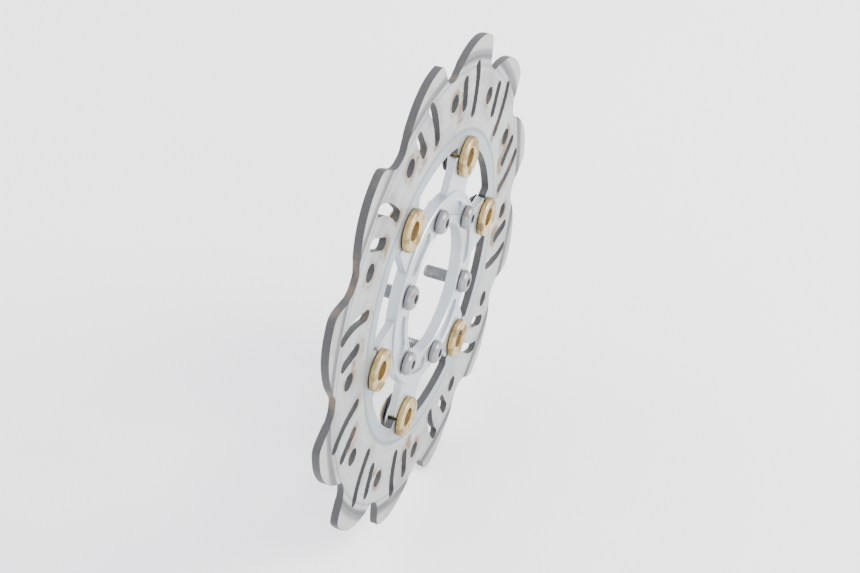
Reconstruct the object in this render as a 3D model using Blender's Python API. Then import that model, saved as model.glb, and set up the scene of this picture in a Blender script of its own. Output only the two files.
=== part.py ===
"""Floating wave brake disc: a steel ring on six drive buttons round an aluminium carrier.

Metres, +Z up. The disc stands upright and turns about the Y axis. The origin is on that axis, in the
plane where the carrier's back sits on the wheel hub. -Y is the outer side, where the button heads are.
Angles are clockwise from +Z as seen from the outer side.
"""

import math

import bmesh
import bpy
from mathutils import Matrix, Vector

# ---- driving dimensions, from the middle outwards -------------------------------------------------

FIT = 0.0003                  # gap left between neighbouring pieces

CARRIER_BORE = 0.029          # radius of the hole for the hub's spigot
BOLTS = 6
BOLT_MARGIN = 0.0065          # from the bore to the middle of a bolt
LAND_MARGIN = 0.0075          # from there to the edge of the thick middle, the land
LAND_BEHIND_RING = 0.0010     # how far the hub seat lies behind the ring's back face
LAND_PROUD = 0.0010           # how far the land stands out in front of the arms
ARM_OVERLAP = 0.0030          # how far the arms' plate runs into the land

BOLT_RADIUS = 0.0030
BOLT_HEAD_EDGE = 0.00225      # head radius beyond the shank
BOLT_HEAD_HEIGHT = 0.0033
BOLT_REACH = 0.0120           # past the seat, into the hub
SOCKET_WIDTH = 0.0040         # across flats
SOCKET_DEPTH = 0.0020

BUTTONS = 6
BUTTON_PHASE = 35.5           # degrees, where the first button sits
BUTTON_RADIUS = 0.0062        # the shank that carries ring and carrier
BUTTON_WALL = 0.0010          # left between the circlip's groove and the bore
HEAD_OVERHANG = 0.0028
HEAD_HEIGHT = 0.0028
HEAD_CHAMFER = 0.0007
GROOVE_DEPTH = 0.0010
BUTTON_END = 0.0010           # shank left behind the circlip's groove
END_CHAMFER = 0.0004
ARM_NECK = 0.0060             # arm seen between the land and a button's head
LUG_WALL = 0.0045             # metal beside a button, in ring lugs and carrier arms
LUG_PARTING = 0.0012          # open gap between a ring lug and the arm that faces it
LUG_LENGTH = 0.0050           # from the button circle out to the ring's inner edge

WASHER_OVERHANG = 0.0032
WASHER_THICKNESS = 0.0008
WAVE_OVERHANG = 0.0025
WAVE_THICKNESS = 0.0004
WAVE_HEIGHT = 0.0007          # crest to trough
WAVES = 3
CIRCLIP_WIDTH = 0.0027
CIRCLIP_THICKNESS = 0.0010
CIRCLIP_MOUTH = 60.0          # degrees left open
CIRCLIP_EAR = 0.0012          # how far its two ears stand out

RING_THICKNESS = 0.0035
RING_BAND = 0.047             # from the ring's inner edge out to the petal tips
PETALS = 12
PETAL_DEPTH = 0.0138          # from a petal's tip down to the valley beside it
PETAL_PHASE = 1.0             # degrees, where the first petal's tip points
PETAL_RISE = 17.0             # degrees of the gentle flank before a tip
PETAL_FALL = 6.3              # degrees from a tip to half-way down its steep flank
PETAL_EASE = 0.9              # degrees over which the outline's corners are rounded
PETAL_STEPS = 24              # outline points for each petal

# Each cut's places are (depth below the petal tips, degrees from the petal's tip).
HOLE_DIAMETER = 0.0078
HOLE_PLACE = (0.0246, -15.9)
SHORT_SLOT_WIDTH = 0.0054
SHORT_SLOT_PATH = ((0.0180, -9.5), (0.0232, -8.5), (0.0288, -7.4))
LONG_SLOT_WIDTH = 0.0050
LONG_SLOT_PATH = ((0.0131, -2.0), (0.0215, 0.5), (0.0329, 2.0))

# ---- places worked out from them (y runs from the outer side, negative, to the hub side) --------

BOLT_CIRCLE = CARRIER_BORE + BOLT_MARGIN
LAND_RADIUS = BOLT_CIRCLE + LAND_MARGIN
ARM_ROOT = LAND_RADIUS - ARM_OVERLAP
HEAD_RADIUS = BUTTON_RADIUS + HEAD_OVERHANG
BUTTON_CIRCLE = LAND_RADIUS + ARM_NECK + HEAD_RADIUS
NOTCH_RADIUS = BUTTON_RADIUS + FIT
LUG_HALF_WIDTH = NOTCH_RADIUS + LUG_WALL
RING_INNER_RADIUS = BUTTON_CIRCLE + LUG_LENGTH
RING_RADIUS = RING_INNER_RADIUS + RING_BAND

RING_BACK = -LAND_BEHIND_RING
RING_FRONT = RING_BACK - RING_THICKNESS
LAND_FRONT = RING_FRONT - LAND_PROUD
HEAD_BACK = RING_FRONT - FIT
HEAD_FRONT = HEAD_BACK - HEAD_HEIGHT
WASHER_FRONT = RING_BACK + FIT
WASHER_BACK = WASHER_FRONT + WASHER_THICKNESS
WAVE_MIDDLE = WASHER_BACK + FIT + (WAVE_THICKNESS + WAVE_HEIGHT) / 2
WAVE_BACK = WAVE_MIDDLE + (WAVE_THICKNESS + WAVE_HEIGHT) / 2
CIRCLIP_FRONT = WAVE_BACK + FIT
CIRCLIP_BACK = CIRCLIP_FRONT + CIRCLIP_THICKNESS
GROOVE_FRONT = CIRCLIP_FRONT - FIT
GROOVE_BACK = CIRCLIP_BACK + FIT
BUTTON_BACK = GROOVE_BACK + BUTTON_END
GROOVE_RADIUS = BUTTON_RADIUS - GROOVE_DEPTH
BUTTON_BORE = GROOVE_RADIUS - BUTTON_WALL
CIRCLIP_INNER = GROOVE_RADIUS + FIT
WASHER_RADIUS = BUTTON_RADIUS + WASHER_OVERHANG
WAVE_RADIUS = BUTTON_RADIUS + WAVE_OVERHANG
BOLT_SEAT = LAND_FRONT - FIT
BOLT_HOLE = BOLT_RADIUS + FIT
BOLT_HEAD_RADIUS = BOLT_RADIUS + BOLT_HEAD_EDGE

COLOURS = {
    "steel_ring": ((0.55, 0.55, 0.53), 0.38, 1.0),
    "aluminium": ((0.62, 0.65, 0.67), 0.42, 1.0),
    "gold_plate": ((0.72, 0.52, 0.20), 0.35, 1.0),
    "washer_steel": ((0.50, 0.50, 0.50), 0.35, 1.0),
    "spring_steel": ((0.10, 0.10, 0.11), 0.45, 1.0),
    "bolt_steel": ((0.30, 0.30, 0.31), 0.40, 1.0),
}


# ---- helpers ------------------------------------------------------------------------------------

def clear_scene():
    for thing in list(bpy.data.objects):
        bpy.data.objects.remove(thing, do_unlink=True)


def make_materials():
    made = {}
    for name, (colour, roughness, metallic) in COLOURS.items():
        material = bpy.data.materials.new(name)
        material.use_nodes = True
        shader = material.node_tree.nodes["Principled BSDF"]
        shader.inputs["Base Color"].default_value = (*colour, 1.0)
        shader.inputs["Roughness"].default_value = roughness
        shader.inputs["Metallic"].default_value = metallic
        made[name] = material
    return made


def polar(radius, degrees):
    """A point of the disc's plane, clockwise from +Z."""
    angle = math.radians(degrees)
    return Vector((radius * math.sin(angle), radius * math.cos(angle)))


def turned_to(points, degrees):
    """Points drawn for a feature that points straight up, turned clockwise to its own place."""
    turn = Matrix.Rotation(-math.radians(degrees), 2)
    return [turn @ point for point in points]


def circle(radius, steps, centre=None):
    middle = centre if centre is not None else Vector((0.0, 0.0))
    return [middle + polar(radius, 360.0 * step / steps) for step in range(steps)]


def rounded(corners, steps=4):
    """Each corner is (point, radius): the corner is replaced by an arc that touches both its sides."""
    points = []
    for index, (corner, radius) in enumerate(corners):
        if radius == 0.0:
            points.append(corner)
            continue
        before = (corners[index - 1][0] - corner).normalized()
        after = (corners[(index + 1) % len(corners)][0] - corner).normalized()
        half = before.angle(after) / 2
        centre = corner + (before + after).normalized() * radius / math.sin(half)
        start = corner + before * radius / math.tan(half) - centre
        sweep = start.angle_signed(corner + after * radius / math.tan(half) - centre)
        for step in range(steps + 1):
            points.append(centre + Matrix.Rotation(-sweep * step / steps, 2) @ start)
    return points


def slot(path, width, steps=5):
    """A round-ended slot along a smooth curve through three places below the petal tips."""
    first, middle, last = (polar(RING_RADIUS - depth, degrees) for depth, degrees in path)
    control = 2 * middle - (first + last) / 2
    line = []
    for step in range(steps + 1):
        t = step / steps
        line.append(first * (1 - t) ** 2 + control * 2 * t * (1 - t) + last * t ** 2)
    heads = [(b - a).normalized() for a, b in zip([line[0]] + line[:-1], line[1:] + [line[-1]])]
    heads[0] = (line[1] - line[0]).normalized()
    heads[-1] = (line[-1] - line[-2]).normalized()
    side = [Vector((head.y, -head.x)) * width / 2 for head in heads]
    points = [place + across for place, across in zip(line, side)]
    points += [line[-1] + Matrix.Rotation(math.radians(turn), 2) @ side[-1] for turn in (45, 90, 135)]
    points += [place - across for place, across in zip(reversed(line), reversed(side))]
    points += [line[0] - Matrix.Rotation(math.radians(turn), 2) @ side[0] for turn in (45, 90, 135)]
    return points


def finish_mesh(name, bm, material):
    bmesh.ops.remove_doubles(bm, verts=bm.verts, dist=1e-6)
    bmesh.ops.triangulate(bm, faces=bm.faces)
    bmesh.ops.recalc_face_normals(bm, faces=bm.faces)
    mesh = bpy.data.meshes.new(name)
    bm.to_mesh(mesh)
    bm.free()
    mesh.materials.append(material)
    mesh.shade_smooth()
    mesh.set_sharp_from_angle(angle=math.radians(30))
    return mesh


def place(name, mesh, location=(0.0, 0.0, 0.0), degrees=0.0):
    piece = bpy.data.objects.new(name, mesh)
    piece.location = location
    piece.rotation_euler = (0.0, math.radians(degrees), 0.0)
    bpy.context.scene.collection.objects.link(piece)
    return piece


def plate(name, loops, front, back, material):
    """A flat piece: an outline and its holes, filled at the front and extruded to the back."""
    bm = bmesh.new()
    edges = []
    for loop in loops:
        ring = [bm.verts.new((point.x, front, point.y)) for point in loop]
        edges += [bm.edges.new(pair) for pair in zip(ring, ring[1:] + ring[:1])]
    bmesh.ops.triangle_fill(bm, edges=edges, use_beauty=True, normal=(0.0, -1.0, 0.0))
    grown = bmesh.ops.extrude_face_region(bm, geom=bm.faces[:])
    moved = [item for item in grown["geom"] if isinstance(item, bmesh.types.BMVert)]
    bmesh.ops.translate(bm, verts=moved, vec=(0.0, back - front, 0.0))
    return finish_mesh(name, bm, material)


def turned(name, stations, steps, material, hollow=False):
    """A round piece about Y from (y, radius) stations. A radius may also be a function of the angle."""
    bm = bmesh.new()
    rings = []
    for height, radius in stations:
        ring = []
        for step in range(steps):
            degrees = 360.0 * step / steps
            reach = radius(degrees) if callable(radius) else radius
            rise = height(degrees) if callable(height) else height
            point = polar(reach, degrees)
            ring.append(bm.verts.new((point.x, rise, point.y)))
        rings.append(ring)
    pairs = list(zip(rings, rings[1:]))
    if hollow:
        pairs.append((rings[-1], rings[0]))
    else:
        bm.faces.new(rings[0])
        bm.faces.new(rings[-1])
    for low, high in pairs:
        for index in range(steps):
            after = (index + 1) % steps
            bm.faces.new((low[index], low[after], high[after], high[index]))
    return finish_mesh(name, bm, material)


# ---- the steel ring -----------------------------------------------------------------------------

def petal_radius(degrees):
    """Outline radius at an angle from a petal's tip: a gentle rise, a crown and a steep fall."""
    offset = (degrees + PETAL_RISE) % (360.0 / PETALS) - PETAL_RISE
    if offset < 0.0:
        height = 1 - (-offset / PETAL_RISE) ** 1.8
    else:
        height = 1 / (1 + (offset / PETAL_FALL) ** 7)
    return RING_RADIUS - PETAL_DEPTH * (1 - height)


def ring_outline():
    """The outline's corners are eased over a few degrees, as a cutter's radius leaves them."""
    points = []
    for step in range(PETALS * PETAL_STEPS):
        degrees = 360.0 * step / (PETALS * PETAL_STEPS)
        near = [petal_radius(degrees + shift * PETAL_EASE) for shift in (-1.0, -0.5, 0.0, 0.5, 1.0)]
        radius = sum(near) / len(near)
        points.append(polar(radius, degrees + PETAL_PHASE))
    return points


def notch(opens_outward):
    """The half-round seat of a button, as (point, radius) corners for an arm or lug that points up."""
    centre = Vector((0.0, BUTTON_CIRCLE))
    level = LUG_PARTING / 2
    start = math.degrees(math.asin(level / NOTCH_RADIUS))
    corners = []
    for step in range(9):
        turn = start + (180.0 - 2 * start) * step / 8
        side = -math.cos(math.radians(turn)) * NOTCH_RADIUS
        drop = math.sin(math.radians(turn)) * NOTCH_RADIUS
        corners.append((centre + Vector((side, -drop if opens_outward else drop)), 0.0))
    return corners


def ring_bore():
    """The ring's inner edge: six lugs, each with a half-round seat that opens towards the middle."""
    face = BUTTON_CIRCLE + LUG_PARTING / 2
    pitch = 360.0 / BUTTONS
    points = []
    for index in range(BUTTONS):
        root = math.degrees(math.asin((LUG_HALF_WIDTH + 0.0015) / RING_INNER_RADIUS))
        lug = [(polar(RING_INNER_RADIUS, -root), 0.0015)]
        lug += [(Vector((-LUG_HALF_WIDTH, face)), 0.0012)]
        lug += notch(opens_outward=False)
        lug += [(Vector((LUG_HALF_WIDTH, face)), 0.0012)]
        lug += [(polar(RING_INNER_RADIUS, root), 0.0015)]
        between = 5
        for step in range(1, between):
            lug.append((polar(RING_INNER_RADIUS, root + (pitch - 2 * root) * step / between), 0.0))
        turned_lug = turned_to([corner for corner, _ in lug], BUTTON_PHASE + pitch * index)
        points += list(zip(turned_lug, [radius for _, radius in lug]))
    return rounded(points, steps=3)


def build_ring(materials):
    loops = [ring_outline(), ring_bore()]
    for index in range(PETALS):
        degrees = PETAL_PHASE + 360.0 / PETALS * index
        hole = polar(RING_RADIUS - HOLE_PLACE[0], degrees + HOLE_PLACE[1])
        loops.append(circle(HOLE_DIAMETER / 2, 12, hole))
        loops.append(turned_to(slot(SHORT_SLOT_PATH, SHORT_SLOT_WIDTH, steps=3), degrees))
        loops.append(turned_to(slot(LONG_SLOT_PATH, LONG_SLOT_WIDTH), degrees))
    place("brake_ring", plate("brake_ring", loops, RING_FRONT, RING_BACK, materials["steel_ring"]))


# ---- the carrier --------------------------------------------------------------------------------

def carrier_arms():
    """Outline of the six arms. Each ends in a half-round seat that opens outwards."""
    face = BUTTON_CIRCLE - LUG_PARTING / 2
    valley = LAND_RADIUS - 0.0010
    root = math.degrees(math.asin(LUG_HALF_WIDTH / valley)) + 2.0
    pitch = 360.0 / BUTTONS
    corners = []
    for index in range(BUTTONS):
        arm = [(polar(valley, -root), 0.0)]
        arm += [(Vector((-LUG_HALF_WIDTH, face)), 0.0020)]
        arm += notch(opens_outward=True)
        arm += [(Vector((LUG_HALF_WIDTH, face)), 0.0020)]
        arm += [(polar(valley, root), 0.0)]
        arm.append((polar(valley, pitch / 2), 0.0))
        turned_arm = turned_to([corner for corner, _ in arm], BUTTON_PHASE + pitch * index)
        corners += list(zip(turned_arm, [radius for _, radius in arm]))
    return rounded(corners)


def build_carrier(materials):
    aluminium = materials["aluminium"]
    bolt_places = [polar(BOLT_CIRCLE, bolt_angle(index)) for index in range(BOLTS)]
    land_loops = [circle(LAND_RADIUS, 60), circle(CARRIER_BORE, 48)]
    land_loops += [circle(BOLT_HOLE, 18, centre) for centre in bolt_places]
    land = place("carrier", plate("carrier", land_loops, LAND_FRONT, 0.0, aluminium))

    arm_loops = [carrier_arms(), circle(ARM_ROOT, 48)]
    arms = place("carrier_arms_guide", plate("carrier_arms", arm_loops, RING_FRONT, RING_BACK, aluminium))
    arms.hide_render = True
    arms.display_type = "WIRE"

    union = land.modifiers.new("join_arms", "BOOLEAN")
    union.operation = "UNION"
    union.object = arms


# ---- drive buttons and what holds them ----------------------------------------------------------

def button_mesh(material):
    bevel = END_CHAMFER
    stations = [
        (BUTTON_BACK, BUTTON_BORE),
        (BUTTON_BACK, BUTTON_RADIUS - bevel),
        (BUTTON_BACK - bevel, BUTTON_RADIUS),
        (GROOVE_BACK, BUTTON_RADIUS),
        (GROOVE_BACK, GROOVE_RADIUS),
        (GROOVE_FRONT, GROOVE_RADIUS),
        (GROOVE_FRONT, BUTTON_RADIUS),
        (HEAD_BACK, BUTTON_RADIUS),
        (HEAD_BACK, HEAD_RADIUS),
        (HEAD_FRONT + HEAD_CHAMFER, HEAD_RADIUS),
        (HEAD_FRONT, HEAD_RADIUS - HEAD_CHAMFER),
        (HEAD_FRONT, BUTTON_BORE + bevel),
        (HEAD_FRONT + bevel, BUTTON_BORE),
    ]
    return turned("drive_button", stations, 24, material, hollow=True)


def flat_washer_mesh(material):
    inner = BUTTON_RADIUS + FIT
    stations = [
        (WASHER_FRONT, inner),
        (WASHER_FRONT, WASHER_RADIUS),
        (WASHER_BACK, WASHER_RADIUS),
        (WASHER_BACK, inner),
    ]
    return turned("flat_washer", stations, 24, material, hollow=True)


def wave_washer_mesh(material):
    inner = BUTTON_RADIUS + FIT

    def wave(offset):
        return lambda degrees: WAVE_MIDDLE + offset + WAVE_HEIGHT / 2 * math.sin(math.radians(degrees * WAVES))

    front = wave(-WAVE_THICKNESS / 2)
    back = wave(WAVE_THICKNESS / 2)
    stations = [(front, inner), (front, WAVE_RADIUS), (back, WAVE_RADIUS), (back, inner)]
    return turned("wave_washer", stations, 24, material, hollow=True)


def circlip_mesh(material):
    """A ring open at the top, with a small ear at each end, widest opposite the mouth."""
    steps = 18
    sweep = 360.0 - CIRCLIP_MOUTH
    outer = []
    inner = []
    for step in range(steps + 1):
        degrees = CIRCLIP_MOUTH / 2 + sweep * step / steps
        width = CIRCLIP_WIDTH * (0.55 + 0.45 * math.sin(math.pi * step / steps))
        if step in (0, steps):
            width = CIRCLIP_WIDTH * 0.55 + CIRCLIP_EAR
        if step in (1, steps - 1):
            width = CIRCLIP_WIDTH * 0.55 + CIRCLIP_EAR * 0.8
        outer.append(polar(CIRCLIP_INNER + width, degrees))
        inner.append(polar(CIRCLIP_INNER, degrees))
    return plate("circlip", [outer + inner[::-1]], CIRCLIP_FRONT, CIRCLIP_BACK, material)


def build_buttons(materials):
    kinds = {
        "drive_button": button_mesh(materials["gold_plate"]),
        "flat_washer": flat_washer_mesh(materials["washer_steel"]),
        "wave_washer": wave_washer_mesh(materials["spring_steel"]),
        "circlip": circlip_mesh(materials["spring_steel"]),
    }
    for index in range(BUTTONS):
        degrees = BUTTON_PHASE + 360.0 / BUTTONS * index
        centre = polar(BUTTON_CIRCLE, degrees)
        for kind, mesh in kinds.items():
            place(f"{kind}_{index + 1}", mesh, (centre.x, 0.0, centre.y), degrees)


# ---- hub bolts ----------------------------------------------------------------------------------

def bolt_angle(index):
    """The bolts sit half-way between the arms."""
    return BUTTON_PHASE + 360.0 / BOLTS * (index + 0.5)


def socket(degrees):
    """Radius of the hexagon at an angle."""
    return SOCKET_WIDTH / 2 / math.cos(math.radians(degrees % 60.0 - 30.0))


def bolt_mesh(material):
    dome = 0.35 * BOLT_HEAD_RADIUS
    stations = [
        (BOLT_REACH, BOLT_RADIUS * 0.8),
        (BOLT_REACH - BOLT_RADIUS * 0.3, BOLT_RADIUS),
        (BOLT_SEAT, BOLT_RADIUS),
        (BOLT_SEAT, BOLT_HEAD_RADIUS),
        (BOLT_SEAT - BOLT_HEAD_HEIGHT * 0.35, BOLT_HEAD_RADIUS),
        (BOLT_SEAT - BOLT_HEAD_HEIGHT * 0.80, BOLT_HEAD_RADIUS - dome * 0.5),
        (BOLT_SEAT - BOLT_HEAD_HEIGHT, BOLT_HEAD_RADIUS - dome),
        (BOLT_SEAT - BOLT_HEAD_HEIGHT, socket),
        (BOLT_SEAT - BOLT_HEAD_HEIGHT + SOCKET_DEPTH, socket),
    ]
    return turned("hub_bolt", stations, 18, material)


def build_bolts(materials):
    mesh = bolt_mesh(materials["bolt_steel"])
    for index in range(BOLTS):
        centre = polar(BOLT_CIRCLE, bolt_angle(index))
        place(f"hub_bolt_{index + 1}", mesh, (centre.x, 0.0, centre.y))


def main():
    clear_scene()
    materials = make_materials()
    build_ring(materials)
    build_carrier(materials)
    build_buttons(materials)
    build_bolts(materials)


main()
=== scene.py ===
# %% [markdown]
# # A floating wave brake disc
# The disc is a steel braking ring with twelve saw-like petals. Six gold drive buttons carry it on an
# aluminium carrier, and six screws hold the carrier to the wheel hub. The frame gives every size and place,
# and this lesson gives each piece its fine shape and its finish.

# %% The frame
import math
import random

import bmesh
import bpy
from mathutils import Matrix, Vector


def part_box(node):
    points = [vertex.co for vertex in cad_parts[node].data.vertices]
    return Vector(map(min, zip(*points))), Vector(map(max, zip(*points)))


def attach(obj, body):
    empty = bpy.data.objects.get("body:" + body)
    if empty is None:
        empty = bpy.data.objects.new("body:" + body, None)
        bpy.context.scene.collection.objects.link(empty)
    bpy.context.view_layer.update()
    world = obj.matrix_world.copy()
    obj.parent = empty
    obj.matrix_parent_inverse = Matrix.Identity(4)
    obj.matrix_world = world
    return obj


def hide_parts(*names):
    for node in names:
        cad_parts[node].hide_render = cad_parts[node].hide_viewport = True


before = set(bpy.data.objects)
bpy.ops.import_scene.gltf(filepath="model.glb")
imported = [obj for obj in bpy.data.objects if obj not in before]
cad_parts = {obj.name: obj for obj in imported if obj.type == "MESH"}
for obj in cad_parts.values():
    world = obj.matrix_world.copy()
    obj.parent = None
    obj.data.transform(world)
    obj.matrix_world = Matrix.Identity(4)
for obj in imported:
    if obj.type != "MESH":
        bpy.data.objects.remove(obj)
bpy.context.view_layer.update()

# %% [markdown]
# ## Reading sizes off the frame
# A box of a node at rest holds its lowest and highest corner, so the ring's box gives its two faces. Reading
# them here means that a changed frame changes these pieces too. The disc turns about Y, its outer side faces
# -Y, and angles run clockwise from +Z as seen from there.

# %% Sizes from the frame
ring_low, ring_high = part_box("brake_ring")
land_low, land_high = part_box("carrier")
button_low, button_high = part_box("drive_button_1")
bolt_low, bolt_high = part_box("hub_bolt_1")

RING_FRONT = ring_low[1]
RING_BACK = ring_high[1]
LAND_FRONT = land_low[1]
SEAT = land_high[1]
HEAD_FRONT = button_low[1]
BUTTON_BACK = button_high[1]
PETALS = 12
BUTTONS = 6
print("ring faces", RING_FRONT, RING_BACK, "land", LAND_FRONT, SEAT)

# %% Sizes of the ring
RING_RADIUS = 0.110
RING_INNER_RADIUS = 0.063
PETAL_DEPTH = 0.0138
PETAL_PHASE = 1.0
PETAL_RISE = 17.0
PETAL_RISE_POWER = 1.8
PETAL_FALL = 6.3
PETAL_FALL_POWER = 7
PETAL_EASE = 0.9
HOLE_DIAMETER = 0.0078
HOLE_PLACE = (0.0854, -15.9)
SHORT_SLOT_WIDTH = 0.0054
SHORT_SLOT_PATH = ((0.0920, -9.5), (0.0868, -8.5), (0.0812, -7.4))
LONG_SLOT_WIDTH = 0.0050
LONG_SLOT_PATH = ((0.0969, -2.0), (0.0885, 0.5), (0.0771, 2.0))
TRACK_INNER = 0.0700
TRACK_OUTER = 0.1010
WEAR_DEPTH = 0.00028
WEAR_SLOPE = 0.0011
RING_BREAK = 0.0002

# %% Sizes of the centre
BUTTON_PHASE = 35.5
BUTTON_CIRCLE = 0.058
BUTTON_RADIUS = 0.0062
NOTCH_RADIUS = 0.0065
SEAT_EASING = 0.0006
LUG_HALF_WIDTH = 0.0110
LUG_PARTING = 0.0012
LUG_FLARE = 0.0015
LUG_CORNER = 0.0012
ARM_CORNER = 0.0020
ARM_FLARE = 2.0
ARM_BREAK = 0.0004
LAND_RADIUS = 0.0430
LAND_BREAK = 0.0005
LAND_RIM = 0.0016
LAND_SINK = 0.0002
CARRIER_BORE = 0.029
ARM_ROOT = 0.0400
ARM_VALLEY = LAND_RADIUS - 0.0010
BOLT_CIRCLE = 0.0355
BOLT_RADIUS = 0.0030
BOLT_HOLE = 0.0033
THROUGH = 0.001

# %% [markdown]
# ## Working by operators
# An operator acts on whatever is selected, and the frame leaves its own nodes selected. These helpers clear
# the selection, open a piece in edit mode and apply a modifier, so each later cell stays short.

# %% Helpers for operators
def clear_selection():
    if bpy.context.mode != "OBJECT":
        bpy.ops.object.mode_set(mode="OBJECT")
    bpy.ops.object.select_all(action="DESELECT")


def work_on(piece):
    clear_selection()
    piece.select_set(True)
    bpy.context.view_layer.objects.active = piece


def apply_modifier(piece, kind, **settings):
    """Adds a modifier, sets it up and applies it."""
    work_on(piece)
    modifier = piece.modifiers.new(kind.lower(), kind)
    for key, value in settings.items():
        setattr(modifier, key, value)
    bpy.ops.object.modifier_apply(modifier=modifier.name)


def apply_place(piece):
    """Moves the place, turn and scale of an object into its mesh."""
    work_on(piece)
    bpy.ops.object.transform_apply(location=True, rotation=True, scale=True)


def drop(piece):
    bpy.data.objects.remove(piece, do_unlink=True)


def cut(piece, cutter, operation="DIFFERENCE"):
    """Both are closed meshes, so the manifold solver can be used, and it always leaves a closed one."""
    apply_modifier(piece, "BOOLEAN", operation=operation, object=cutter, solver="MANIFOLD")
    drop(cutter)


def soften(piece, width, segments=2, angle=50.0):
    """Breaks the sharp edges, as a file or a tumbler does."""
    apply_modifier(
        piece,
        "BEVEL",
        width=width,
        segments=segments,
        limit_method="ANGLE",
        angle_limit=math.radians(angle),
        use_clamp_overlap=False,
    )


def finish_shading(piece, angle=35.0):
    work_on(piece)
    bpy.ops.object.shade_smooth_by_angle(angle=math.radians(angle))
    apply_modifier(piece, "WEIGHTED_NORMAL", keep_sharp=True, weight=60)


# %% Points in the disc's plane
def polar(radius, degrees):
    angle = math.radians(degrees)
    return Vector((radius * math.sin(angle), radius * math.cos(angle)))


def turned_to(points, degrees):
    turn = Matrix.Rotation(-math.radians(degrees), 2)
    return [turn @ point for point in points]


def circle(radius, steps, centre=Vector((0.0, 0.0))):
    return [centre + polar(radius, 360.0 * step / steps) for step in range(steps)]


def rounded(corners, steps=6):
    """Each (point, radius) corner with a radius becomes an arc that touches both its sides."""
    points = []
    for index, (corner, radius) in enumerate(corners):
        if radius == 0.0:
            points.append(corner)
            continue
        before = (corners[index - 1][0] - corner).normalized()
        after = (corners[(index + 1) % len(corners)][0] - corner).normalized()
        half = before.angle(after) / 2
        centre = corner + (before + after).normalized() * radius / math.sin(half)
        start = corner + before * radius / math.tan(half) - centre
        sweep = start.angle_signed(corner + after * radius / math.tan(half) - centre)
        for step in range(steps + 1):
            points.append(centre + Matrix.Rotation(-sweep * step / steps, 2) @ start)
    return points


# %% [markdown]
# ## Flat blanks
# Ring, carrier and circlip are cut from sheet. Each outline and each hole starts as a primitive circle
# in edit mode, its points are pulled to their places, and all the loops are filled at once, so the holes
# stay open. The face is then extruded to the sheet's thickness. Cutting every hole with a Boolean
# would give the same shape more slowly.

# %% A blank from loops
def blank(name, loops, front, back):
    clear_selection()
    bpy.ops.mesh.primitive_circle_add(vertices=len(loops[0]), radius=1.0)
    piece = bpy.context.object
    piece.name = piece.data.name = name
    bpy.ops.object.mode_set(mode="EDIT")
    for loop in loops[1:]:
        bpy.ops.mesh.primitive_circle_add(vertices=len(loop), radius=1.0)
    bpy.ops.object.mode_set(mode="OBJECT")
    mesh = piece.data
    count = 0
    for loop in loops:
        order = walk_loop(mesh, count)
        for vertex, point in zip(order, loop):
            mesh.vertices[vertex].co = (point.x, front, point.y)
        count += len(loop)
    piece.matrix_world = Matrix.Identity(4)
    bpy.ops.object.mode_set(mode="EDIT")
    bpy.ops.mesh.select_all(action="SELECT")
    bpy.ops.mesh.fill(use_beauty=True)
    bpy.ops.mesh.select_all(action="SELECT")
    bpy.ops.mesh.extrude_region_move(TRANSFORM_OT_translate={"value": (0.0, back - front, 0.0)})
    bpy.ops.mesh.select_all(action="SELECT")
    bpy.ops.mesh.normals_make_consistent(inside=False)
    bpy.ops.object.mode_set(mode="OBJECT")
    print(name, "blank:", len(loops), "loops,", len(mesh.polygons), "faces")
    return piece


def walk_loop(mesh, first):
    """A primitive circle numbers its points in order round the loop."""
    links = {}
    for edge in mesh.edges:
        a, b = edge.vertices
        links.setdefault(a, []).append(b)
        links.setdefault(b, []).append(a)
    order = [first]
    step = min(links[first])
    while step != first:
        order.append(step)
        onward = [other for other in links[step] if other != order[-2]]
        step = onward[0]
    return order


# %% [markdown]
# ## Turned pieces
# Buttons, washers and screws are turned on a lathe. Their profile is drawn with one vertex that is
# extruded from point to point, and the spin operator carries it round the axis. Doubles are merged
# and the normals are made consistent, because a spin can come out inside out.

# %% A turned piece from its profile
def turned(name, profile, steps=48, closed=True):
    """profile holds (y, radius) points. Closed, it makes a piece with a hole; open, it ends on the axis."""
    clear_selection()
    bpy.ops.mesh.primitive_plane_add(size=0.001)
    piece = bpy.context.object
    piece.name = piece.data.name = name
    bpy.ops.object.mode_set(mode="EDIT")
    bpy.ops.mesh.select_all(action="SELECT")
    bpy.ops.mesh.merge(type="CENTER")
    y, radius = profile[0]
    bpy.ops.transform.translate(value=(0.0, y, radius))
    for (y, radius), (next_y, next_radius) in zip(profile, profile[1:]):
        step = (0.0, next_y - y, next_radius - radius)
        bpy.ops.mesh.extrude_vertices_move(TRANSFORM_OT_translate={"value": step})
    bpy.ops.mesh.select_all(action="SELECT")
    if closed:
        bpy.ops.object.mode_set(mode="OBJECT")
        close_profile(piece.data)
        bpy.ops.object.mode_set(mode="EDIT")
        bpy.ops.mesh.select_all(action="SELECT")
    bpy.ops.mesh.spin(steps=steps, angle=2 * math.pi, center=(0.0, 0.0, 0.0), axis=(0.0, 1.0, 0.0))
    bpy.ops.mesh.select_all(action="SELECT")
    bpy.ops.mesh.remove_doubles(threshold=0.000002)
    bpy.ops.mesh.select_all(action="SELECT")
    bpy.ops.mesh.normals_make_consistent(inside=False)
    bpy.ops.object.mode_set(mode="OBJECT")
    return piece


def close_profile(mesh):
    """Joins the profile's last point to its first."""
    shape = bmesh.new()
    shape.from_mesh(mesh)
    ends = [vertex for vertex in shape.verts if len(vertex.link_edges) == 1]
    shape.edges.new(ends)
    shape.to_mesh(mesh)
    shape.free()


# %% [markdown]
# ## Shader maths
# A finish is mostly arithmetic on the distance from the axis, the angle and some noise. The class below
# lets that be written as plain expressions, and each operator adds its Math node.

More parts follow.
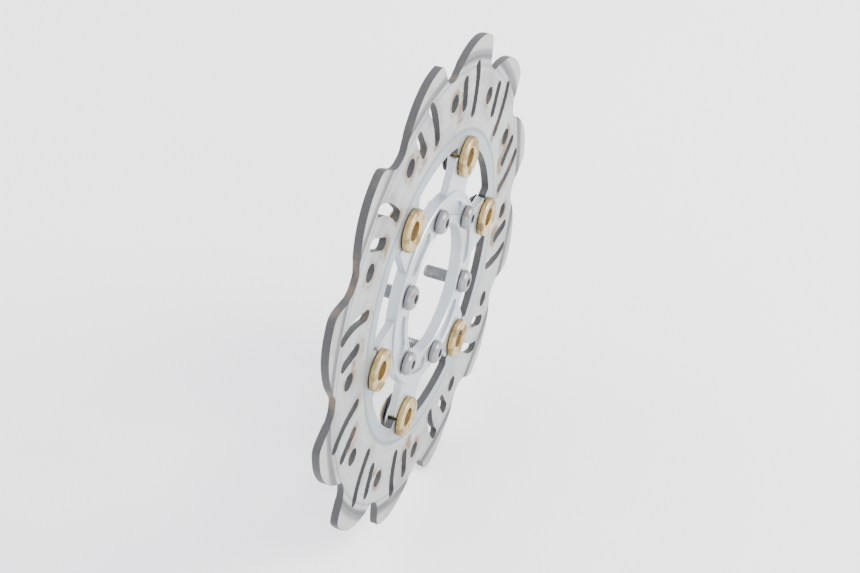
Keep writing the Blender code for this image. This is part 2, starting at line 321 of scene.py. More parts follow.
# %% A value in a shader
class Value:
    def __init__(self, graph, socket):
        self.graph = graph
        self.socket = socket

    def math(self, operation, *others):
        settings = {"operation": operation}
        inputs = dict(enumerate((self, *others)))
        return self.graph.add("ShaderNodeMath", settings, inputs)

    def flipped(self, operation, other):
        return self.graph.add("ShaderNodeMath", {"operation": operation}, {0: other, 1: self})

    def __add__(self, other):
        return self.math("ADD", other)

    def __radd__(self, other):
        return self.math("ADD", other)

    def __sub__(self, other):
        return self.math("SUBTRACT", other)

    def __rsub__(self, other):
        return self.flipped("SUBTRACT", other)

    def __mul__(self, other):
        return self.math("MULTIPLY", other)

    def __rmul__(self, other):
        return self.math("MULTIPLY", other)

    def __truediv__(self, other):
        return self.math("DIVIDE", other)

    def clamped(self):
        return self.graph.add("ShaderNodeClamp", {}, {0: self})

    def ramp(self, low, high):
        """0 at low, 1 at high, with an eased way between."""
        settings = {"interpolation_type": "SMOOTHSTEP"}
        return self.graph.add("ShaderNodeMapRange", settings, {0: self, 1: low, 2: high})


# %% A material's graph
class Graph:
    def __init__(self, name):
        self.material = bpy.data.materials.new(name)
        self.material.use_nodes = True
        self.tree = self.material.node_tree
        self.tree.nodes.clear()
        self.where = self.add("ShaderNodeTexCoord", out="Object")

    def add(self, kind, settings=None, sockets=None, out=0):
        """Adds a node, sets it up, and feeds its sockets with values or links."""
        node = self.tree.nodes.new(kind)
        for key, value in (settings or {}).items():
            setattr(node, key, value)
        for key, value in (sockets or {}).items():
            if isinstance(value, Value):
                self.tree.links.new(value.socket, node.inputs[key])
            else:
                node.inputs[key].default_value = value
        return Value(self, node.outputs[out])

    def split(self, vector):
        node = self.tree.nodes.new("ShaderNodeSeparateXYZ")
        self.tree.links.new(vector.socket, node.inputs[0])
        return [Value(self, output) for output in node.outputs]

    def join(self, x, y, z):
        return self.add("ShaderNodeCombineXYZ", {}, {0: x, 1: y, 2: z})

    def noise(self, vector, scale, detail=4.0, rough=0.55):
        sockets = {"Vector": vector, "Scale": scale, "Detail": detail, "Roughness": rough}
        return self.add("ShaderNodeTexNoise", {}, sockets)

    def blend(self, factor, low, high):
        """A colour between low and high."""
        low = low if isinstance(low, Value) else (*low, 1.0)
        high = high if isinstance(high, Value) else (*high, 1.0)
        return self.add("ShaderNodeMix", {"data_type": "RGBA"}, {0: factor, 6: low, 7: high}, out=2)

    def bump(self, height, distance, strength=1.0):
        return self.add("ShaderNodeBump", {}, {"Height": height, "Distance": distance, "Strength": strength})

    def finish(self, sockets, bumped=None):
        if bumped is not None:
            sockets = {**sockets, "Normal": bumped}
        shader = self.add("ShaderNodeBsdfPrincipled", {}, sockets)
        self.add_output(shader)
        return self.material

    def add_output(self, shader):
        node = self.tree.nodes.new("ShaderNodeOutputMaterial")
        self.tree.links.new(shader.socket, node.inputs[0])

# %% [markdown]
# ## The braking ring
# Laser-cut stainless sheet. Each petal rises gently and falls steeply, and its corners are eased, as the
# cutting beam leaves them. Under every petal lie a round hole, a short slot and a long, slightly curved
# slot. Six lugs inside reach the drive buttons with half-round seats.

# %% Outline of the petals
def petal_radius(degrees):
    offset = (degrees + PETAL_RISE) % (360.0 / PETALS) - PETAL_RISE
    if offset < 0.0:
        height = 1 - (-offset / PETAL_RISE) ** PETAL_RISE_POWER
    else:
        height = 1 / (1 + (offset / PETAL_FALL) ** PETAL_FALL_POWER)
    return RING_RADIUS - PETAL_DEPTH * (1 - height)


def ring_outline(steps_per_petal):
    count = PETALS * steps_per_petal
    shifts = [PETAL_EASE * share / 4 for share in range(-4, 5)]
    points = []
    for step in range(count):
        degrees = 360.0 * step / count
        radius = sum(petal_radius(degrees + shift) for shift in shifts) / len(shifts)
        points.append(polar(radius, degrees + PETAL_PHASE))
    return points


# %% Slots and seats
def slot(path, width, steps=8, end_steps=9):
    first, middle, last = (polar(*place) for place in path)
    control = 2 * middle - (first + last) / 2
    line = []
    for step in range(steps + 1):
        t = step / steps
        line.append(first * (1 - t) ** 2 + control * 2 * t * (1 - t) + last * t ** 2)
    heads = [(b - a).normalized() for a, b in zip([line[0]] + line[:-1], line[1:] + [line[-1]])]
    side = [Vector((head.y, -head.x)) * width / 2 for head in heads]
    turns = [math.pi * step / end_steps for step in range(1, end_steps)]
    points = [place + across for place, across in zip(line, side)]
    points += [line[-1] + Matrix.Rotation(turn, 2) @ side[-1] for turn in turns]
    points += [place - across for place, across in zip(reversed(line), reversed(side))]
    points += [line[0] - Matrix.Rotation(turn, 2) @ side[0] for turn in turns]
    return points


def seat(opens_outward, steps=16):
    """Half-round seat of a button, for a lug or an arm that points straight up."""
    start = math.degrees(math.asin(LUG_PARTING / 2 / NOTCH_RADIUS))
    way = -1.0 if opens_outward else 1.0
    corners = []
    for step in range(steps + 1):
        turn = math.radians(start + (180.0 - 2 * start) * step / steps)
        offset = Vector((-math.cos(turn), way * math.sin(turn))) * NOTCH_RADIUS
        easing = SEAT_EASING if step in (0, steps) else 0.0
        corners.append((Vector((0.0, BUTTON_CIRCLE)) + offset, easing))
    return corners


def round_the_disc(part):
    """Repeats the corners of one lug or arm at every button, and rounds them."""
    corners = []
    for index in range(BUTTONS):
        places = turned_to([corner for corner, _ in part], BUTTON_PHASE + 360.0 / BUTTONS * index)
        corners += list(zip(places, [radius for _, radius in part]))
    return rounded(corners)


def ring_bore():
    face = BUTTON_CIRCLE + LUG_PARTING / 2
    pitch = 360.0 / BUTTONS
    root = math.degrees(math.asin((LUG_HALF_WIDTH + LUG_FLARE) / RING_INNER_RADIUS))
    between = 18
    lug = [(polar(RING_INNER_RADIUS, -root), LUG_FLARE), (Vector((-LUG_HALF_WIDTH, face)), LUG_CORNER)]
    lug += seat(opens_outward=False)
    lug += [(Vector((LUG_HALF_WIDTH, face)), LUG_CORNER), (polar(RING_INNER_RADIUS, root), LUG_FLARE)]
    for step in range(1, between):
        lug.append((polar(RING_INNER_RADIUS, root + (pitch - 2 * root) * step / between), 0.0))
    return round_the_disc(lug)


# %% The ring's blank, with broken edges
ring_loops = [ring_outline(56), ring_bore()]
for petal in range(PETALS):
    tip = PETAL_PHASE + 360.0 / PETALS * petal
    ring_loops.append(circle(HOLE_DIAMETER / 2, 28, polar(HOLE_PLACE[0], tip + HOLE_PLACE[1])))
    ring_loops.append(turned_to(slot(SHORT_SLOT_PATH, SHORT_SLOT_WIDTH), tip))
    ring_loops.append(turned_to(slot(LONG_SLOT_PATH, LONG_SLOT_WIDTH, steps=14), tip))
ring = blank("braking_ring", ring_loops, RING_FRONT, RING_BACK)
soften(ring, RING_BREAK)

# %% [markdown]
# ## The worn track
# Years of pads leave a shallow channel with sloping shoulders on both faces, and fine rings where grit has
# scored the steel. A bump map would not change the outline of the shoulders, so a turned cutter with an
# uneven floor takes the channel out of the real metal. The scoring is random but seeded, so it is
# the same each time.

# %% The pads' channel on both faces
def pad_cutter(face, into):
    """face is the y of the ring's face, into is +1 or -1, the way into the metal."""
    draw = random.Random(7)
    above = 0.0005
    run_out = WEAR_SLOPE * above / WEAR_DEPTH
    floor_start = TRACK_INNER + WEAR_SLOPE
    floor_end = TRACK_OUTER - WEAR_SLOPE
    rings = 30
    profile = [(face - into * above, TRACK_INNER - run_out)]
    for step in range(rings + 1):
        depth = WEAR_DEPTH * draw.uniform(0.72, 1.12)
        profile.append((face + into * depth, floor_start + (floor_end - floor_start) * step / rings))
    profile.append((face - into * above, TRACK_OUTER + run_out))
    return turned("pad_cutter", profile, steps=180)


cut(ring, pad_cutter(RING_FRONT, 1.0))
cut(ring, pad_cutter(RING_BACK, -1.0))
finish_shading(ring, 30.0)
print("ring:", len(ring.data.polygons), "faces")

# %% [markdown]
# ## The carrier
# Milled aluminium: a thick land that is bolted to the hub and six thinner arms. Land and arms are made
# apart, with their edges broken, and then joined, so the corner between them stays crisp. Shallow pockets
# between the screws save weight.

# %% Land and arms
def carrier_arms():
    """The arms' outline. Its valleys and its bore lie inside the land, which covers them."""
    face = BUTTON_CIRCLE - LUG_PARTING / 2
    root = math.degrees(math.asin(LUG_HALF_WIDTH / ARM_VALLEY)) + ARM_FLARE
    arm = [(polar(ARM_VALLEY, -root), 0.0), (Vector((-LUG_HALF_WIDTH, face)), ARM_CORNER)]
    arm += seat(opens_outward=True)
    arm += [(Vector((LUG_HALF_WIDTH, face)), ARM_CORNER), (polar(ARM_VALLEY, root), 0.0)]
    arm.append((polar(ARM_VALLEY, 180.0 / BUTTONS), 0.0))
    return round_the_disc(arm)


arms = blank("carrier_arms", [carrier_arms(), circle(ARM_ROOT, 96)], RING_FRONT, RING_BACK)
soften(arms, ARM_BREAK)
land_profile = [
    (SEAT, CARRIER_BORE + LAND_BREAK),
    (SEAT, LAND_RADIUS - LAND_BREAK),
    (SEAT - LAND_BREAK, LAND_RADIUS),
    (LAND_FRONT + LAND_BREAK, LAND_RADIUS),
    (LAND_FRONT, LAND_RADIUS - LAND_BREAK),
    (LAND_FRONT, LAND_RADIUS - LAND_RIM),
    (LAND_FRONT + LAND_SINK, LAND_RADIUS - LAND_RIM - LAND_SINK),
    (LAND_FRONT + LAND_SINK, CARRIER_BORE + LAND_RIM),
    (LAND_FRONT, CARRIER_BORE + LAND_RIM - LAND_SINK),
    (LAND_FRONT, CARRIER_BORE + LAND_BREAK),
    (LAND_FRONT + LAND_BREAK, CARRIER_BORE),
    (SEAT - LAND_BREAK, CARRIER_BORE),
]
carrier = turned("carrier_body", land_profile, steps=128)
cut(carrier, arms, "UNION")


# %% Screw holes and pockets
def bolt_angle(index):
    return BUTTON_PHASE + 360.0 / BUTTONS * (index + 0.5)


def drill(piece, centre, radius, front, back, vertices=40):
    clear_selection()
    middle = (front + back) / 2
    bpy.ops.mesh.primitive_cylinder_add(
        vertices=vertices,
        radius=radius,
        depth=abs(back - front),
        location=(centre.x, middle, centre.y),
        rotation=(math.pi / 2, 0.0, 0.0),
    )
    tool = bpy.context.object
    apply_place(tool)
    cut(piece, tool)


POCKET_WIDTH = 0.0062
POCKET_DEPTH = 0.0013
POCKET_REACH = 11.0
pocket_path = ((BOLT_CIRCLE, -POCKET_REACH), (BOLT_CIRCLE, 0.0), (BOLT_CIRCLE, POCKET_REACH))
for index in range(BUTTONS):
    drill(carrier, polar(BOLT_CIRCLE, bolt_angle(index)), BOLT_HOLE, LAND_FRONT - THROUGH, SEAT + THROUGH)
    outline = turned_to(slot(pocket_path, POCKET_WIDTH, steps=12), BUTTON_PHASE + 360.0 / BUTTONS * index)
    tool = blank("pocket_tool", [outline], LAND_FRONT - THROUGH, LAND_FRONT + POCKET_DEPTH)
    cut(carrier, tool)
finish_shading(carrier, 30.0)
print("carrier:", len(carrier.data.polygons), "faces")

# %% [markdown]
# ## Drive buttons, washers and clips
# A button is a hollow bobbin turned from bar and plated gold. Its head bears on ring and carrier, and
# behind them a flat washer, a wave washer and a circlip hold it. One of each is made at the middle of the
# disc and copied to the six places.

# %% One drive button
FIT = 0.0003
HEAD_RADIUS = 0.0090
HEAD_BACK = RING_FRONT - FIT
HEAD_BREAK = 0.0003
HEAD_DISH = 0.00035
GROOVE_RADIUS = 0.0052
GROOVE_WIDTH = 0.0016
GROOVE_BACK = BUTTON_BACK - 0.0010
GROOVE_FRONT = GROOVE_BACK - GROOVE_WIDTH
BUTTON_BORE = 0.0042
END_CHAMFER = 0.0004
button_profile = [
    (BUTTON_BACK, BUTTON_BORE + HEAD_BREAK),
    (BUTTON_BACK, BUTTON_RADIUS - END_CHAMFER),
    (BUTTON_BACK - END_CHAMFER, BUTTON_RADIUS),
    (GROOVE_BACK, BUTTON_RADIUS),
    (GROOVE_BACK, GROOVE_RADIUS),
    (GROOVE_FRONT, GROOVE_RADIUS),
    (GROOVE_FRONT, BUTTON_RADIUS),
    (HEAD_BACK, BUTTON_RADIUS),
    (HEAD_BACK, HEAD_RADIUS - HEAD_BREAK),
    (HEAD_BACK - HEAD_BREAK, HEAD_RADIUS),
    (HEAD_FRONT + 0.0008, HEAD_RADIUS),
    (HEAD_FRONT + 0.0003, HEAD_RADIUS - 0.0003),
    (HEAD_FRONT, HEAD_RADIUS - 0.0009),
    (HEAD_FRONT, HEAD_RADIUS - 0.0018),
    (HEAD_FRONT + HEAD_DISH, HEAD_RADIUS - 0.0022),
    (HEAD_FRONT + HEAD_DISH, BUTTON_BORE + 0.0010),
    (HEAD_FRONT + HEAD_DISH + 0.0005, BUTTON_BORE),
    (BUTTON_BACK - HEAD_BREAK, BUTTON_BORE),
]
button = turned("drive_button", button_profile, steps=72)
finish_shading(button, 40.0)

# %% Its washers
WASHER_FRONT = RING_BACK + FIT
WASHER_BACK = WASHER_FRONT + 0.0008
WASHER_BORE = BUTTON_RADIUS + FIT
WASHER_RADIUS = 0.0094
WASHER_BREAK = 0.00012
WAVE_RADIUS = 0.0087
WAVE_THICKNESS = 0.0004
WAVE_HEIGHT = 0.00035
WAVE_BREAK = 0.00008
WAVES = 3
WAVE_MIDDLE = WASHER_BACK + FIT + WAVE_HEIGHT + WAVE_THICKNESS / 2


def ring_profile(front, back, inner, outer, edge):
    return [
        (front, inner + edge),
        (front, outer - edge),
        (front + edge, outer),
        (back - edge, outer),
        (back, outer - edge),
        (back, inner + edge),
        (back - edge, inner),
        (front + edge, inner),
    ]


flat_profile = ring_profile(WASHER_FRONT, WASHER_BACK, WASHER_BORE, WASHER_RADIUS, WASHER_BREAK)
flat_washer = turned("flat_washer", flat_profile, 72)
finish_shading(flat_washer, 40.0)
wave_front = WAVE_MIDDLE - WAVE_THICKNESS / 2
wave_back = WAVE_MIDDLE + WAVE_THICKNESS / 2
wave_profile = ring_profile(wave_front, wave_back, WASHER_BORE, WAVE_RADIUS, WAVE_BREAK)
wave_washer = turned("wave_washer", wave_profile, 72)
for vertex in wave_washer.data.vertices:
    around = math.atan2(vertex.co.x, vertex.co.z)
    vertex.co.y += WAVE_HEIGHT * math.sin(WAVES * around)
finish_shading(wave_washer, 40.0)


# %% Its circlip
CIRCLIP_FRONT = GROOVE_FRONT + FIT
CIRCLIP_BACK = GROOVE_BACK - FIT
CIRCLIP_BORE = GROOVE_RADIUS + FIT
CIRCLIP_MOUTH = 60.0
CIRCLIP_WIDTH = 0.0027
CIRCLIP_BREAK = 0.0001
EAR_HEIGHT = 0.0011
EYE_ANGLE = 34.5
EYE_PLACE = CIRCLIP_BORE + 0.0014
EYE_RADIUS = 0.0006


def circlip_outline(steps=48):
    """Open at the top, widest opposite the mouth, with an ear at each end."""
    outer_side = []
    inner_side = []
    for step in range(steps + 1):
        share = step / steps
        degrees = CIRCLIP_MOUTH / 2 + (360.0 - CIRCLIP_MOUTH) * share
        reach = CIRCLIP_WIDTH * (0.55 + 0.45 * math.sin(math.pi * share))
        ear = max(0.0, 1 - min(share, 1 - share) * 12)
        reach += EAR_HEIGHT * min(1.0, 1.6 * ear)
        outer_side.append(polar(CIRCLIP_BORE + reach, degrees))
        inner_side.append(polar(CIRCLIP_BORE, degrees))
    return outer_side + inner_side[::-1]


circlip = blank("circlip", [circlip_outline()], CIRCLIP_FRONT, CIRCLIP_BACK)
soften(circlip, CIRCLIP_BREAK, segments=1)
for degrees in (EYE_ANGLE, -EYE_ANGLE):
    eye = polar(EYE_PLACE, degrees)
    drill(circlip, eye, EYE_RADIUS, CIRCLIP_FRONT - THROUGH, CIRCLIP_BACK + THROUGH, 20)
finish_shading(circlip, 30.0)
print("button set ready")

# %% [markdown]
# ## Hub screws
# Button-head socket screws. The thread is the part that shows from behind, so it is modelled: the
# shank's points are pulled in and out along a helix, which keeps the screw one closed body. The hexagon
# is cut with a six-sided tool.

# %% One hub screw
BOLT_SEAT = LAND_FRONT - FIT
BOLT_TIP = bolt_high[1]
TIP_CHAMFER = 0.0006
TIP_SHARE = 0.78
HEAD_TOP = bolt_low[1]
SCREW_HEAD_RADIUS = 0.00525
HEAD_SKIRT = 0.0009
HEAD_ROUNDING = 0.0021
HEAD_UNDERCUT = 0.0002
THREAD_PITCH = 0.0010
THREAD_DEPTH = 0.00045
THREAD_END = SEAT - 0.0005
THREAD_ROWS = 110
DOME_STEPS = 8
SOCKET_RADIUS = 0.0023
SOCKET_DEPTH = 0.0020

thread_start = BOLT_TIP - TIP_CHAMFER
thread_length = THREAD_END - thread_start
screw_profile = [(BOLT_TIP, 0.0), (BOLT_TIP, BOLT_RADIUS * TIP_SHARE), (thread_start, BOLT_RADIUS)]
for row in range(1, THREAD_ROWS + 1):
    screw_profile.append((thread_start + thread_length * row / THREAD_ROWS, BOLT_RADIUS))
screw_profile += [
    (BOLT_SEAT, BOLT_RADIUS),
    (BOLT_SEAT, SCREW_HEAD_RADIUS - HEAD_UNDERCUT),
    (BOLT_SEAT - HEAD_UNDERCUT, SCREW_HEAD_RADIUS),
]
dome_height = BOLT_SEAT - HEAD_TOP - HEAD_SKIRT
for step in range(DOME_STEPS + 1):
    turn = math.pi / 2 * step / DOME_STEPS
    rise = HEAD_SKIRT + dome_height * math.sin(turn)
    screw_profile.append((BOLT_SEAT - rise, SCREW_HEAD_RADIUS - HEAD_ROUNDING * (1 - math.cos(turn))))
screw_profile.append((HEAD_TOP, 0.0))
screw = turned("hub_screw", screw_profile, steps=36, closed=False)

# %% Its thread and its socket
for vertex in screw.data.vertices:
    reach = math.hypot(vertex.co.x, vertex.co.z)
    if THREAD_END + 0.0004 < vertex.co.y < BOLT_TIP - 0.0001 and abs(reach - BOLT_RADIUS) < 0.0001:
        around = math.atan2(vertex.co.x, vertex.co.z) / (2 * math.pi)
        phase = (vertex.co.y / THREAD_PITCH - around) % 1.0
        groove = 1 - abs(2 * phase - 1)
        scale = 1 - THREAD_DEPTH * groove / BOLT_RADIUS
        vertex.co.x *= scale
        vertex.co.z *= scale
drill(screw, Vector((0.0, 0.0)), SOCKET_RADIUS, HEAD_TOP - THROUGH, HEAD_TOP + SOCKET_DEPTH, 6)
finish_shading(screw, 35.0)
print("screw:", len(screw.data.polygons), "faces")


# %% [markdown]
# ## Finishes
# The face of the ring has four zones by distance from the axis: petal crowns that no pad touches, a darker
# band at the outer shoulder, the bright scored track, and the bluish land inside. Painted shadow lines mark
# the outer and inner wear steps. Rust gathers round the hole and the slots' inner ends, so the finish works
# out how far each point is from the cuts.
# Because every petal is alike, the angle is folded into one petal first.

# %% Steel of the ring's faces
def polar_place(graph):
    x, y, z = graph.split(graph.where)
    radius = (x * x + z * z).math("SQRT")
    angle = x.math("ARCTAN2", z)
    return x, y, z, radius, angle


def circular_noise(graph, x, z, radius, scale, stretch, detail=3.0):
    """Noise drawn out along circles round the axis."""
    place = graph.join(radius, x / radius * stretch, z / radius * stretch)
    return graph.noise(place, scale, detail)


def bar_distance(x, z, start, end, width):
    """How far a point of the folded petal is from a round-ended cut."""
    a, b = polar(*start), polar(*end)
    along = b - a
    from_x, from_z = x - a.x, z - a.y
    share = ((from_x * along.x + from_z * along.y) / along.length_squared).clamped()
    off_x, off_z = from_x - share * along.x, from_z - share * along.y
    return (off_x * off_x + off_z * off_z).math("SQRT") - width / 2


def folded_petal(radius, angle):
    """Carries every petal onto the first one, which here points straight up."""
    pitch = 2 * math.pi / PETALS
    low = math.radians(-23.0)
    folded = (angle - math.radians(PETAL_PHASE) - low).math("FLOORED_MODULO", pitch) + low
    return radius * folded.math("SINE"), radius * folded.math("COSINE")


def cut_distance(radius, angle):
    x, z = folded_petal(radius, angle)
    hole = bar_distance(x, z, HOLE_PLACE, (HOLE_PLACE[0] - 0.0001, HOLE_PLACE[1]), HOLE_DIAMETER)
    short = bar_distance(x, z, SHORT_SLOT_PATH[0], SHORT_SLOT_PATH[2], SHORT_SLOT_WIDTH)
    upper = bar_distance(x, z, LONG_SLOT_PATH[0], LONG_SLOT_PATH[1], LONG_SLOT_WIDTH)
    lower = bar_distance(x, z, LONG_SLOT_PATH[1], LONG_SLOT_PATH[2], LONG_SLOT_WIDTH)
    return hole.math("MINIMUM", short).math("MINIMUM", upper).math("MINIMUM", lower)


def bell(value, centre, reach):
    """1 at the centre, and 0 from reach away."""
    return 1.0 - (value - centre).math("ABSOLUTE").ramp(reach * 0.15, reach)


def rust_place(radius, angle):
    """Where water sits: round the hole and at the inner ends of the slots, 1 there and 0 elsewhere."""
    x, z = folded_petal(radius, angle)
    hole = bar_distance(x, z, HOLE_PLACE, (HOLE_PLACE[0] - 0.0001, HOLE_PLACE[1]), HOLE_DIAMETER)
    short_end, long_end = SHORT_SLOT_PATH[2], LONG_SLOT_PATH[2]
    short = bar_distance(x, z, short_end, (short_end[0] - 0.0030, short_end[1]), SHORT_SLOT_WIDTH * 0.8)
    long = bar_distance(x, z, long_end, (long_end[0] - 0.0020, long_end[1]), LONG_SLOT_WIDTH * 0.6)
    between = bar_distance(x, z, (HOLE_PLACE[0] - 0.001, -10.5), (HOLE_PLACE[0] - 0.009, -9.5), 0.001)
    pooled = 1.0 - hole.math("MINIMUM", short).math("MINIMUM", long).ramp(0.0, 0.0036)
    return pooled.math("MAXIMUM", 1.0 - between.ramp(0.0010, 0.0045))


CROWN_GREY = (0.39, 0.387, 0.365)
TRACK_GREY = (0.315, 0.322, 0.315)
TRACK_BRIGHT = (0.43, 0.437, 0.428)
LAND_BLUE = (0.31, 0.345, 0.365)
SHOULDER_GREY = (0.125, 0.123, 0.137)
# painted shadow for the corner of the outer wear step
PAINTED_STEP_SHADOW = (0.060, 0.063, 0.068)
# painted shadow for the inner wear step
PAINTED_INNER_STEP_SHADOW = (0.165, 0.205, 0.235)
SMUDGE = (0.18, 0.178, 0.160)
RUST_DARK = (0.085, 0.046, 0.028)
RUST_LIGHT = (0.20, 0.125, 0.080)
TAN_STAIN = (0.25, 0.185, 0.130)


def ring_face_finish():
    graph = Graph("worn_ring_face")
    x, y, z, radius, angle = polar_place(graph)
    streaks = circular_noise(graph, x, z, radius, 2600.0, 0.0016)
    bands = circular_noise(graph, x, z, radius, 420.0, 0.0020)
    cloud = graph.noise(graph.where, 38.0, 5.0)
    grain = graph.noise(graph.where, 900.0, 3.0)
    patch = graph.noise(graph.where, 24.0, 2.0).ramp(0.42, 0.54)
    inside = radius.ramp(TRACK_INNER - 0.0006, TRACK_INNER + 0.0006)
    outside = radius.ramp(TRACK_OUTER - 0.0008, TRACK_OUTER + 0.0004)
    track = inside * (1.0 - outside)

    scored = graph.blend((streaks * 0.6 + bands * 0.5).ramp(0.36, 0.78), TRACK_GREY, TRACK_BRIGHT)
    colour = graph.blend(outside, scored, CROWN_GREY)
    colour = graph.blend(inside, LAND_BLUE, colour)
    colour = graph.blend(cloud.ramp(0.48, 0.70) * 0.65, colour, SMUDGE)

    # a darker band above the shoulder, a painted shadow line in its corner and a faint darker line where the
    # pad ends
    uneven = bands.ramp(0.25, 0.6) * 0.25 + cloud * 0.4 + 0.55
    shoulder_band = radius.ramp(TRACK_OUTER - 0.0022, TRACK_OUTER - 0.0002)
    shoulder_band = shoulder_band * (1.0 - radius.ramp(TRACK_OUTER + 0.0016, TRACK_OUTER + 0.0042))
    colour = graph.blend(shoulder_band * uneven * 0.95, colour, SHOULDER_GREY)
    # painted shadow line in the corner of the outer wear step
    colour = graph.blend(bell(radius, TRACK_OUTER - 0.0006, 0.0020) * uneven * 0.90, colour, PAINTED_STEP_SHADOW)
    colour = graph.blend(bell(radius, TRACK_OUTER - 0.0042, 0.0011) * uneven * 0.55, colour, SHOULDER_GREY)
    # painted shadow line along the inner wear step
    colour = graph.blend(bell(radius, TRACK_INNER - 0.0004, 0.0016) * 0.85, colour, PAINTED_INNER_STEP_SHADOW)

    halo = 1.0 - cut_distance(radius, angle).ramp(0.0, 0.0075)
    broken = graph.noise(graph.where, 160.0, 5.0).ramp(0.42, 0.56)
    wet = rust_place(radius, angle)
    colour = graph.blend(halo * cloud.ramp(0.40, 0.62) * 0.55, colour, SMUDGE)
    colour = graph.blend(wet * patch * (broken * 0.6 + 0.15), colour, TAN_STAIN)
    specks = graph.noise(graph.where, 420.0, 4.0).ramp(0.62, 0.72) * patch * halo
    rust = (wet * patch * broken * 0.9).math("MAXIMUM", specks * 0.7)
    colour = graph.blend(rust, colour, graph.blend(grain, RUST_DARK, RUST_LIGHT))

    rough = 0.40 + streaks * 0.10 + outside * 0.12 + rust * 0.35
    metal = 0.85 - rust * 0.75 - cloud.ramp(0.50, 0.72) * 0.25
    height = streaks * track * 0.7 + bands * track * 0.5 + grain * 0.25
    height = height + rust * graph.noise(graph.where, 1800.0)
    bumped = graph.bump(height, 0.00009, 0.7)
    return graph.finish({"Base Color": colour, "Roughness": rough, "Metallic": metal}, bumped)


# %% [markdown]
# The cut walls never meet a pad. They are coloured near black, darker than the faces, with brown rust
# patches. A second material slot on every face whose normal lies in the disc's plane does this without a
# second piece.

# %% Dark walls of the cuts
def ring_wall_finish():
    graph = Graph("dark_cut_wall")
    cloud = graph.noise(graph.where, 60.0, 5.0)
    grain = graph.noise(graph.where, 1400.0, 3.0)
    colour = graph.blend(grain, (0.030, 0.031, 0.034), (0.070, 0.069, 0.068))
    colour = graph.blend(cloud.ramp(0.54, 0.72) * 0.75, colour, (0.15, 0.105, 0.075))
    bumped = graph.bump(grain, 0.00010, 0.6)
    return graph.finish({"Base Color": colour, "Roughness": grain * 0.2 + 0.50, "Metallic": 0.35}, bumped)


WALL_NORMAL = 0.80


def dress_ring(piece):
    piece.data.materials.clear()
    piece.data.materials.append(ring_face_finish())
    piece.data.materials.append(ring_wall_finish())
    walls = 0
    for face in piece.data.polygons:
        face.material_index = 1 if abs(face.normal.y) < WALL_NORMAL else 0
        walls += face.material_index
    print(walls, "wall faces")


dress_ring(ring)

# %% [markdown]
# Aluminium shows fine turning rings and patches of dust. Gold plating is dulled by brown stains. Spring
# steel is oiled black, and the screws are dull. The last three differ only in colour, roughness and the
# size of their stains, so one function makes them.

# %% Aluminium and gold
def aluminium_finish():
    graph = Graph("milled_aluminium")
    x, y, z, radius, angle = polar_place(graph)
    turning = circular_noise(graph, x, z, radius, 3800.0, 0.0010)
    cloud = graph.noise(graph.where, 45.0, 5.0)
    grain = graph.noise(graph.where, 1100.0, 3.0)
    colour = graph.blend(turning, (0.40, 0.43, 0.455), (0.50, 0.53, 0.555))
    colour = graph.blend(cloud.ramp(0.50, 0.70) * 0.5, colour, (0.40, 0.38, 0.33))
    rough = 0.34 + turning * 0.12 + cloud.ramp(0.50, 0.70) * 0.2
    bumped = graph.bump(turning + grain * 0.4, 0.00005, 0.6)
    return graph.finish({"Base Color": colour, "Roughness": rough, "Metallic": 0.9}, bumped)


def gold_finish():
    graph = Graph("worn_gold_plating")
    cloud = graph.noise(graph.where, 140.0, 5.0)
    grain = graph.noise(graph.where, 1500.0, 3.0)
    colour = graph.blend(grain, (0.40, 0.29, 0.12), (0.53, 0.40, 0.19))
    stain = cloud.ramp(0.46, 0.62)
    colour = graph.blend(stain * 0.75, colour, (0.17, 0.115, 0.060))
    rough = 0.30 + stain * 0.35 + grain * 0.08
    bumped = graph.bump(grain * 0.5 + cloud, 0.00006, 0.6)
    return graph.finish({"Base Color": colour, "Roughness": rough, "Metallic": 0.9}, bumped)


# %% Washers, clips and screws
def plain_metal(name, dark, light, dirt, rough, metallic, scale):
    graph = Graph(name)
    cloud = graph.noise(graph.where, scale, 5.0)
    grain = graph.noise(graph.where, 1600.0, 3.0)
    stain = cloud.ramp(0.52, 0.70)
    colour = graph.blend(stain * 0.6, graph.blend(grain, dark, light), dirt)
    bumped = graph.bump(grain + cloud * 0.5, 0.00005, 0.6)
    sockets = {"Base Color": colour, "Roughness": stain * 0.25 + rough, "Metallic": metallic}
    return graph.finish(sockets, bumped)


def dress(piece, material):
    piece.data.materials.clear()
    piece.data.materials.append(material)


dress(carrier, aluminium_finish())
dress(button, gold_finish())
zinc = ((0.42, 0.42, 0.43), (0.58, 0.58, 0.58), (0.26, 0.20, 0.13))
oiled = ((0.035, 0.035, 0.038), (0.075, 0.075, 0.080), (0.13, 0.085, 0.05))
dull = ((0.17, 0.17, 0.18), (0.30, 0.30, 0.31), (0.15, 0.10, 0.060))
dress(flat_washer, plain_metal("zinc_washer", *zinc, 0.34, 0.9, 160.0))
spring_steel = plain_metal("black_spring_steel", *oiled, 0.38, 0.7, 150.0)
dress(wave_washer, spring_steel)
dress(circlip, spring_steel)
dress(screw, plain_metal("dull_screw_steel", *dull, 0.36, 0.85, 170.0))

# %% [markdown]
# ## Putting the pieces in place
# Each copy has its own mesh, moved to its place, so its object stays at the origin. It rides on
# the body of the node that it stands for, and so it turns and slides as the mechanism does.

# %% Copies round the disc
def copy_to(piece, name, centre, degrees):
    copy = piece.copy()
    copy.data = piece.data.copy()
    copy.name = copy.data.name = name
    bpy.context.scene.collection.objects.link(copy)
    turn = Matrix.Rotation(math.radians(degrees), 4, "Y")
    copy.data.transform(Matrix.Translation((centre.x, 0.0, centre.y)) @ turn)
    return copy


def stand_in(piece, body, node):
    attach(piece, body)
    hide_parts(node)


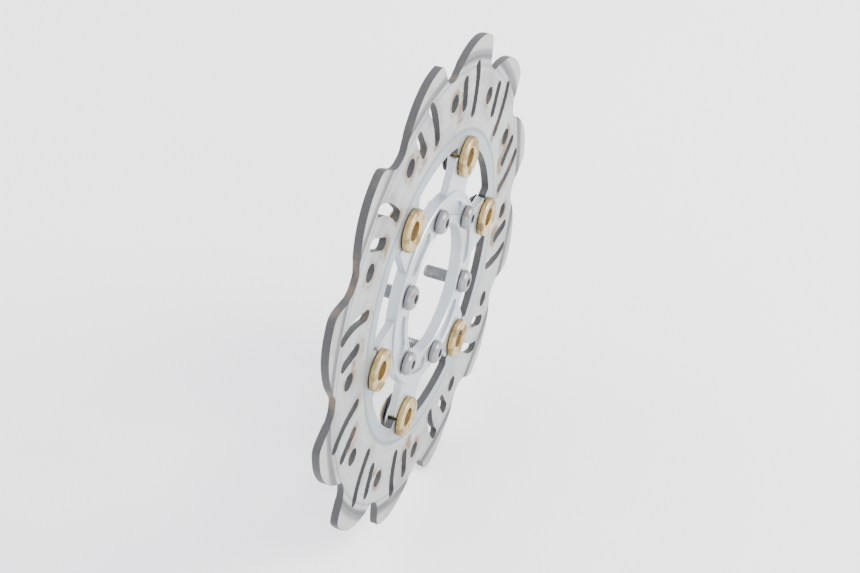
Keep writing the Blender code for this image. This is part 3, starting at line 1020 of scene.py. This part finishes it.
stand_in(ring, "brake_ring", "brake_ring")
stand_in(carrier, "hub_side", "carrier")
SCREW_TURN = 17.0
button_set = [
    (button, "drive_button", "gold_plate"),
    (flat_washer, "flat_washer", "washer_steel"),
    (wave_washer, "wave_washer", "spring_steel"),
    (circlip, "circlip", "spring_steel"),
]
for index in range(BUTTONS):
    degrees = BUTTON_PHASE + 360.0 / BUTTONS * index
    for piece, node, slot_name in button_set:
        name = f"{node}_{index + 1}"
        copy = copy_to(piece, "fine_" + name, polar(BUTTON_CIRCLE, degrees), degrees)
        stand_in(copy, f"drive_{index + 1}", name)
    bolt_place = polar(BOLT_CIRCLE, bolt_angle(index))
    copy = copy_to(screw, f"fine_hub_screw_{index + 1}", bolt_place, SCREW_TURN * index)
    stand_in(copy, "hub_side", f"hub_bolt_{index + 1}")
for piece, _, _ in button_set:
    drop(piece)
drop(screw)
print("pieces placed")

# %% [markdown]
# ## The studio
# A pale floor that curves up into a backdrop, a large soft key light on the outer side and a weaker
# fill keep the steel light and the cut walls dark. The camera looks down at the disc from its left,
# close to its plane, so the face is seen at a steep slant.

# %% Floor and backdrop
def make_floor():
    clear_selection()
    bpy.ops.mesh.primitive_plane_add(size=8.0, location=(0.0, 0.0, -RING_RADIUS - 0.0006))
    floor = bpy.context.object
    floor.name = "studio_floor"
    apply_place(floor)
    graph = Graph("pale_floor")
    cloud = graph.noise(graph.where, 6.0, 4.0)
    colour = graph.blend(cloud, (0.93, 0.93, 0.92), (0.96, 0.96, 0.955))
    dress(floor, graph.finish({"Base Color": colour, "Roughness": 0.8}, graph.bump(cloud, 0.0004, 0.2)))


make_floor()


# %% Lights
def soft_light(name, place, size, power, colour=(1.0, 1.0, 1.0)):
    data = bpy.data.lights.new(name, "AREA")
    data.shape = "DISK"
    data.size = size
    data.energy = power
    data.color = colour
    lamp = bpy.data.objects.new(name, data)
    lamp.location = place
    lamp.rotation_euler = (-Vector(place)).to_track_quat("-Z", "Y").to_euler()
    bpy.context.scene.collection.objects.link(lamp)


soft_light("key", (0.7, -1.5, 1.1), 1.0, 60.0, (1.0, 0.99, 0.97))
soft_light("fill", (-1.4, -0.9, 0.7), 1.2, 9.0, (0.95, 0.97, 1.0))
soft_light("back", (0.4, 1.6, 1.3), 1.2, 14.0)
world = bpy.data.worlds.new("studio")
world.use_nodes = True
world.node_tree.nodes["Background"].inputs[0].default_value = (0.93, 0.95, 1.0, 1.0)
world.node_tree.nodes["Background"].inputs[1].default_value = 2.5
bpy.context.scene.world = world

# %% Camera
CAMERA_WAY = Vector((-0.663, -0.2855, 0.692)).normalized()
CAMERA_DISTANCE = 0.675
camera_data = bpy.data.cameras.new("camera")
camera_data.lens = 66.0
camera = bpy.data.objects.new("camera", camera_data)
aim = Vector((0.0, (RING_FRONT + RING_BACK) / 2, 0.0))
camera.location = aim + CAMERA_WAY * CAMERA_DISTANCE
camera.rotation_euler = (-CAMERA_WAY).to_track_quat("-Z", "Y").to_euler()
bpy.context.scene.collection.objects.link(camera)
bpy.context.scene.camera = camera
